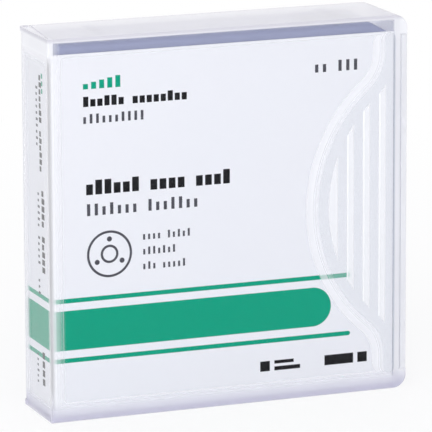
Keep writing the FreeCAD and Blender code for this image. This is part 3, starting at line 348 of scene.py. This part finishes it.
# profile: straight front, quarter circle at the fold, straight spine; carried up in z.
# The front bows by bow * sin(pi s) * sin(pi z), s and z being shares of its width and height.
def makeCard(card):
    low, high = [np.array(corner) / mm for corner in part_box("insert_card")]
    low[:2] += card["inset"]
    radius, thick = card["foldRadius"], card["thick"]
    centre = low[:2] + radius
    frontX = np.linspace(high[0], centre[0], card["frontSteps"])
    turn = np.linspace(0, math.pi / 2, card["foldSteps"] + 1)[1:]
    spineY = np.linspace(centre[1], high[1], card["spineSteps"])[1:]
    zeroes = np.zeros_like
    outX = np.concatenate([frontX, centre[0] - radius * np.sin(turn), zeroes(spineY) + low[0]])
    outY = np.concatenate([zeroes(frontX) + low[1], centre[1] - radius * np.cos(turn), spineY])
    inward = np.concatenate([zeroes(frontX), turn, zeroes(spineY) + math.pi / 2])
    inX, inY = outX + thick * np.sin(inward), outY + thick * np.cos(inward)
    step = np.hypot(np.diff(outX), np.diff(outY))
    along = np.concatenate([[0], -np.cumsum(step)])
    along -= along[card["frontSteps"] - 1]
    heights = np.linspace(low[2], high[2], card["rows"])
    share = np.clip((outX - centre[0]) / (high[0] - centre[0]), 0, 1)
    bow = card["bow"] * np.outer(np.sin(math.pi * (heights - low[2]) / (high[2] - low[2])),
                                 np.sin(math.pi * share))
    loopX = np.concatenate([outX, inX[::-1]])
    loopY = np.concatenate([outY, inY[::-1]])
    loopS = np.concatenate([along, along[::-1]])
    side = np.concatenate([zeroes(outX), zeroes(inX) + 1])
    bowed = np.concatenate([bow, bow[:, ::-1]], axis=1)
    rows, count = len(heights), len(loopX)
    points = np.stack([np.broadcast_to(loopX, (rows, count)), loopY + bowed,
                       np.broadcast_to(heights[:, None], (rows, count))], axis=-1) * mm
    spread = np.stack([np.broadcast_to(loopS, (rows, count)),
                       np.broadcast_to(heights[:, None], (rows, count)),
                       np.broadcast_to(side, (rows, count))], axis=-1)
    index = np.arange(rows * count).reshape(rows, count)
    nextOne = np.roll(index, -1, axis=1)
    walls = np.stack([index[:-1], index[1:], nextOne[1:], nextOne[:-1]], axis=-1).reshape(-1, 4)
    half = count // 2
    first, last = index[0], index[-1]
    outer, inner = np.arange(half - 1), count - 1 - np.arange(half - 1)
    foot = np.stack([first[outer], first[outer + 1], first[inner - 1], first[inner]], axis=-1)
    head = np.stack([last[outer], last[inner], last[inner - 1], last[outer + 1]], axis=-1)
    made = meshFrom(card["name"], points.reshape(-1, 3), np.concatenate([walls, foot, head]))
    held = made.data.attributes.new("spread", "FLOAT_VECTOR", "POINT")
    held.data.foreach_set("vector", spread.reshape(-1).astype(np.float32))
    return made


# an object from points and four-cornered faces, whose corners are given so that they face outwards
def meshFrom(name, points, quads):
    mesh = bpy.data.meshes.new(name)
    mesh.from_pydata(points.tolist(), [], quads.tolist())
    mesh.validate()
    mesh.polygons.foreach_set("use_smooth", [False] * len(mesh.polygons))
    made = bpy.data.objects.new(name, mesh)
    bpy.context.collection.objects.link(made)
    return made


inks = {
    "paper": (0.905, 0.925, 0.95, 1), "paperWarm": (0.925, 0.93, 0.945, 1), "inside": (0.80, 0.80, 0.82, 1),
    "green": (0.004, 0.375, 0.225, 1), "black": (0.012, 0.012, 0.014, 1),
    "grey": (0.085, 0.085, 0.10, 1),
}

# every place is s from the fold or z from the foot
frontPrint = {
    "band": {"low": 20.5, "height": 11.5, "right": 84.0},
    "lines": [{"low": 34.2, "height": 1.3, "right": 90.0}, {"low": 16.9, "height": 1.3, "right": 90.0}],
    "ticks": {"left": 9.0, "low": 95.0, "width": 1.5, "pitch": 2.4, "count": 5, "height": 3.4},
    "bold": [{"left": 9.0, "low": 90.0, "height": 2.9, "step": 2.1, "words": [(0, 6), (7, 8)]},
             {"left": 9.6, "low": 64.8, "height": 4.2, "step": 2.75, "words": [(0, 6), (7, 4), (12, 4)]}],
    "light": [{"left": 9.0, "low": 85.2, "height": 2.7, "step": 1.9, "words": [(0, 10)]},
              {"left": 9.8, "low": 58.8, "height": 3.4, "step": 2.3, "words": [(0, 7), (8, 7)]},
              {"left": 79.0, "low": 94.8, "height": 3.2, "step": 2.4, "words": [(0, 2), (3, 3)]},
              {"left": 26.5, "low": 50.6, "height": 2.2, "step": 1.5, "words": [(0, 4), (5, 5)]},
              {"left": 26.5, "low": 46.3, "height": 2.2, "step": 1.5, "words": [(0, 7)]},
              {"left": 26.5, "low": 42.0, "height": 2.2, "step": 1.5, "words": [(0, 3), (4, 5)]}],
    "reelIcon": {"centre": (16.4, 47.4), "rings": [(6.4, 0.7), (2.3, 0.7)], "dots": 3, "dotRadius": 0.75,
                 "dotPath": 4.3},
    "marks": [{"left": 62.0, "low": 8.6, "width": 3.0, "height": 3.0},
              {"left": 66.4, "low": 8.6, "width": 8.0, "height": 1.2},
              {"left": 66.4, "low": 10.6, "width": 6.0, "height": 1.0},
              {"left": 82.0, "low": 8.6, "width": 9.0, "height": 3.0},
              {"left": 92.3, "low": 8.6, "width": 3.0, "height": 3.0}],
}
spinePrint = {
    "ticks": {"left": -6.6, "low": 93.5, "width": 2.0, "pitch": 2.4, "count": 3, "height": 1.2},
    "bold": [{"left": 71.0, "low": -8.6, "height": 2.0, "step": 2.0, "words": [(0, 6), (7, 7)]},
             {"left": 42.0, "low": -7.4, "height": 2.4, "step": 2.2, "words": [(0, 5), (6, 5)]},
             {"left": 9.0, "low": -8.2, "height": 2.8, "step": 2.6, "words": [(0, 4)]}],
    "light": [{"left": 78.0, "low": -11.4, "height": 1.7, "step": 1.8, "words": [(0, 10)]},
              {"left": 44.0, "low": -10.8, "height": 1.8, "step": 1.8, "words": [(0, 5), (6, 6)]},
              {"left": 35.2, "low": -10.8, "height": 1.8, "step": 1.8, "words": [(0, 3)]},
              {"left": 9.0, "low": -12.8, "height": 1.6, "step": 1.6, "words": [(0, 6)]}],
}


# a line of print as upright blocks of two heights; share is the inked part of each step,
# and a word is (its first block, how many)
def lineWords(lines, s, z, share):
    masks = []
    for line in lines:
        count = (s - line["left"]) / line["step"]
        index = count.floor()
        draw = index.node("TexWhiteNoise", {"noise_dimensions": "1D"}, {"W": index + line["low"]})
        high = (draw > 0.6) * (0.28 * line["height"]) + (line["low"] + 0.72 * line["height"])
        inWords = gather([(count > first) * (count < first + many) for first, many in line["words"]])
        masks.append(inWords * (count - index < share) * (z > line["low"]) * (z < high))
    return masks


# coated card: fine fibres, cloudy tone, and the print as masks on the unfolded sheet
def makeCardFinish():
    made, shader, start = finish("printedCard", {"IOR": 1.45, "Specular IOR Level": 0.15})
    spread = start.node("Attribute", {"attribute_name": "spread"}, out=1)
    s, z, side = [start.node("SeparateXYZ", {}, {0: spread}, out) for out in range(3)]
    place, _ = ownPlace(start)
    fibre, cloud = noise(start, place, 1400.0), noise(start, place, 18.0)
    band, ticks, icon = frontPrint["band"], frontPrint["ticks"], frontPrint["reelIcon"]
    wrapLeft = -30.0
    greens = [capsule(s, z, wrapLeft, part["low"], part["right"] - wrapLeft, part["height"])
              for part in [band] + frontPrint["lines"]]
    greens += [block(s, z, ticks["left"] + i * ticks["pitch"], ticks["low"], ticks["width"],
                     ticks["height"] * (0.45 + 0.55 * i / (ticks["count"] - 1)))
               for i in range(ticks["count"])]
    spineTicks = spinePrint["ticks"]
    greens += [block(s, z, spineTicks["left"], spineTicks["low"] + i * spineTicks["pitch"] * 0.9,
                     spineTicks["height"], spineTicks["width"] * 0.7) for i in range(spineTicks["count"])]
    turns = [2 * math.pi * i / icon["dots"] + math.pi / 2 for i in range(icon["dots"])]
    spots = [(icon["centre"][0] + icon["dotPath"] * math.cos(a),
              icon["centre"][1] + icon["dotPath"] * math.sin(a))
             for a in turns]
    bolds = lineWords(frontPrint["bold"], s, z, 0.74) + lineWords(spinePrint["bold"], z, s, 0.74)
    lights = lineWords(frontPrint["light"], s, z, 0.42) + lineWords(spinePrint["light"], z, s, 0.42)
    lights += [ring(s, z, icon["centre"], radius, line) for radius, line in icon["rings"]]
    lights += [ring(s, z, spot, 0.0, 2 * icon["dotRadius"]) for spot in spots]
    bolds += [block(s, z, mark["left"], mark["low"], mark["width"], mark["height"])
              for mark in frontPrint["marks"]]
    outside = side < 0.5
    paper = blend(cloud, inks["paper"], inks["paperWarm"])
    printed = blend(gather(greens) * outside, blend(outside, inks["inside"], paper), inks["green"])
    printed = blend(gather(lights) * outside, printed, inks["grey"])
    printed = blend(gather(bolds) * outside, printed, inks["black"])
    inked = gather(greens + bolds + lights) * outside
    feed(shader, "Base Color", printed)
    feed(shader, "Roughness", 0.42 + fibre * 0.1 - inked * 0.12)
    feed(shader, "Normal", bump(fibre, 0.12, 0.00003))
    return made


foldedCard = makeCard(card)
foldedCard.data.materials.append(makeCardFinish())
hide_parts("insert_card")
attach(foldedCard, "lid")
print("card folded and printed")


# wound tape: tone and gloss run in fine rings about the reel's own middle
def makeTapeFinish(name, middle):
    made, shader, start = finish(name, {"IOR": 1.6, "Coat Weight": 0.3})
    place, (x, y, z) = ownPlace(start)
    across, up = x - middle[0], z - middle[1]
    far = (across * across + up * up).root()
    turns = far.node("CombineXYZ", {}, {0: far * 6.0, 1: y * 0.4})
    winding = noise(start, turns, 1.0, 4.0)
    feed(shader, "Base Color", blend(winding, (0.018, 0.013, 0.012, 1), (0.06, 0.048, 0.044, 1)))
    feed(shader, "Roughness", 0.22 + winding * 0.25)
    feed(shader, "Normal", bump(winding, 0.3, 0.00004))
    return made


# a small radio tag: square turns of gold on green board round a dark die
def makeChipFinish(name, middle):
    made, shader, start = finish(name, {"IOR": 1.5})
    place, (x, y, z) = ownPlace(start)
    out = (x - middle[0]).size() | (z - middle[1]).size()
    turns = (out.wrapped(0.3) > 0.15) * (out > 1.6) * (out < 3.6)
    die = out < 1.1
    weave = noise(start, place, 3000.0)
    board = blend(weave, (0.02, 0.10, 0.045, 1), (0.03, 0.14, 0.06, 1))
    feed(shader, "Base Color", blend(die, blend(turns, board, (0.75, 0.52, 0.18, 1)), (0.01, 0.01, 0.012, 1)))
    feed(shader, "Metallic", turns * 0.9)
    feed(shader, "Roughness", 0.35 + weave * 0.1)
    return made


def middleOf(node):
    low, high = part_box(node)
    return (low + high) / 2 / mm


reelMiddle, chipMiddle = middleOf("reel_hub"), middleOf("memory_chip")
finishes = {name: makeMoulded(name, look) for name, look in mouldedPlastic.items()}
finishes.update({name: makeMetal(name, look) for name, look in metals.items()})
finishes["caseClear"] = makeClear(clearPlastic)
finishes["woundTape"] = makeTapeFinish("woundTape", (reelMiddle.x, reelMiddle.z))
finishes["radioTag"] = makeChipFinish("radioTag", (chipMiddle.x, chipMiddle.z))
wornBy = {
    "caseClear": ["case_base", "case_lid"], "shellBlue": ["upper_shell", "lower_shell"],
    "screwSteel": ["shell_screw_1", "shell_screw_2", "shell_screw_3", "shell_screw_4"],
    "hubWhite": ["reel_hub", "leader_pin_clip", "insert_card"], "reelGrey": ["reel_upper_flange"],
    "woundTape": ["tape_pack", "leader_tape"], "plateSteel": ["clutch_plate"],
    "brakeDark": ["brake_button"], "springSteel": ["brake_spring", "door_spring"],
    "plateAmber": ["brake_release_plate"], "doorBlue": ["sliding_door"], "pinSteel": ["leader_pin"],
    "switchRed": ["write_protect_switch"], "radioTag": ["memory_chip"],
}
for name, nodes in wornBy.items():
    for node in nodes:
        slots = frame["nodes"][node].data.materials
        slots.clear()
        slots.append(finishes[name])
print("finishes given to", len(frame["nodes"]), "nodes")


coils = {
    "brake_spring": {"name": "brakeCoil", "joint": "brake_lift", "axis": (0, 1, 0)},
    "door_spring": {"name": "doorCoil", "joint": "door_slide", "axis": (1, 0, 0)},
}


# a coil spring copied from its part with doubled points merged, and hung on the base; the share of its length
# kept at the joint's travel, (length - travel) / length, is worked out but not used, so the coil does not
# shorten
def makeCoil(node, look, travel):
    mesh = frame["nodes"][node].data.copy()
    joined = bmesh.new()
    joined.from_mesh(mesh)
    bmesh.ops.remove_doubles(joined, verts=joined.verts, dist=0.001 * mm)
    joined.to_mesh(mesh)
    joined.free()
    made = bpy.data.objects.new(look["name"], mesh)
    bpy.context.collection.objects.link(made)
    low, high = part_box(node)
    length = (high - low).dot(Vector(look["axis"]))
    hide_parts(node)
    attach(made, "base")
    (length - travel) / length
    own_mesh(made)


travels = {joint["name"]: joint["range_m"][1] for joint in frame["record"]["behaviour"]["joints"]
           if "range_m" in joint}
for node, look in coils.items():
    makeCoil(node, look, travels[look["joint"]])


studio = {
    "floorSize": 6.0, "floorColour": (0.93, 0.93, 0.95, 1),
    "fadeFrom": 90.0, "fadeTo": 420.0, "fadeLeast": 0.8,
    "worldLevel": 0.75, "worldColour": (0.97, 0.975, 1.0, 1),
    "lamps": [
        {"name": "keyLamp", "place": (-0.3, -0.42, 0.42), "size": 0.45, "power": 1.25},
        {"name": "fillLamp", "place": (0.8, -0.5, 0.35), "size": 0.8, "power": 0.6},
        {"name": "backLamp", "place": (0.1, 0.8, 0.7), "size": 0.8, "power": 1.6},
    ],
}


# a wide level sheet under the object, z = 0 everywhere; past fadeTo it turns into the plain white background
def makeFloor(studio):
    half = studio["floorSize"] / 2
    line = np.linspace(-half, half, 33)
    across, deep = np.meshgrid(line, line, indexing="ij")
    points = np.stack([across, deep, np.zeros_like(across)], axis=-1).reshape(-1, 3)
    index = np.arange(line.size ** 2).reshape(line.size, line.size)
    quads = np.stack([index[:-1, :-1], index[1:, :-1], index[1:, 1:], index[:-1, 1:]], axis=-1)
    floor = meshFrom("studioFloor", points, quads.reshape(-1, 4))
    made, shader, start = finish("floorPaper", {"Base Color": studio["floorColour"], "Roughness": 0.9,
                                               "Specular IOR Level": 0.1})
    place, (x, y, z) = ownPlace(start)
    far = (x * x + y * y).root()
    fade = far.node("Clamp", {}, {0: (far - studio["fadeFrom"]) / (studio["fadeTo"] - studio["fadeFrom"])})
    glow = start.node("Emission", {}, {"Color": (1, 1, 1, 1), "Strength": 1.0})
    seen = seenStraight(start)
    share = (fade * (1 - studio["fadeLeast"]) + studio["fadeLeast"]) * seen
    mix = start.node("MixShader", {}, {0: share, 1: Signal(start.tree, shader.outputs[0]), 2: glow})
    start.tree.links.new(mix.socket, start.tree.nodes["Material Output"].inputs[0])
    floor.data.materials.append(made)


# 1 on rays that come from the eye, from a gloss or through something clear
def seenStraight(start):
    rays = [start.node("LightPath", {}, {}, out)
            for out in ("Is Camera Ray", "Is Glossy Ray", "Is Transmission Ray")]
    return rays[0] | rays[1] | rays[2]


def makeWorld(studio):
    world = bpy.data.worlds.new("studioWorld")
    world.use_nodes = True
    bpy.context.scene.world = world
    tree = world.node_tree
    start = Signal(tree)
    seen = seenStraight(start)
    back = tree.nodes["Background"]
    tree.links.new(blend(seen, studio["worldColour"], (1, 1, 1, 1)).socket, back.inputs[0])
    tree.links.new((seen * (1 - studio["worldLevel"]) + studio["worldLevel"]).socket, back.inputs[1])


def makeLamps(studio, target):
    for look in studio["lamps"]:
        light = bpy.data.lights.new(look["name"], "AREA")
        light.size, light.energy = look["size"], look["power"]
        lamp = bpy.data.objects.new(look["name"], light)
        lamp.location = look["place"]
        lamp.rotation_euler = (target - lamp.location).to_track_quat("-Z", "Y").to_euler()
        bpy.context.collection.objects.link(lamp)


eye = {
    "target": (0.05, 0.0, 53.04), "azimuth": 21.190, "elevation": 12.441, "distance": 1212.1,
    "lens": 352.29, "roll": -0.252,
}


# the eye stands at azimuth and elevation round the target, rolled a little about its own line of sight
def makeCamera(eye):
    a, e, r = [math.radians(eye[key]) for key in ("azimuth", "elevation", "roll")]
    back = Vector((-math.sin(a) * math.cos(e), -math.cos(a) * math.cos(e), math.sin(e)))
    right = Vector((0, 0, 1)).cross(back).normalized()
    up = back.cross(right)
    right, up = (math.cos(r) * right + math.sin(r) * up, math.cos(r) * up - math.sin(r) * right)
    camera = bpy.data.objects.new("eye", bpy.data.cameras.new("eye"))
    turn = Matrix((right, up, back)).transposed().to_4x4()
    camera.matrix_world = Matrix.Translation((Vector(eye["target"]) + back * eye["distance"]) * mm) @ turn
    camera.data.lens, camera.data.sensor_width = eye["lens"], 36.0
    camera.data.clip_start, camera.data.clip_end = 0.01, 50.0
    bpy.context.collection.objects.link(camera)
    bpy.context.scene.camera = camera


middle = Vector(eye["target"]) * mm
makeFloor(studio)
makeWorld(studio)
makeLamps(studio, middle)
makeCamera(eye)
bpy.context.scene.view_settings.view_transform = "Standard"
print("studio set")
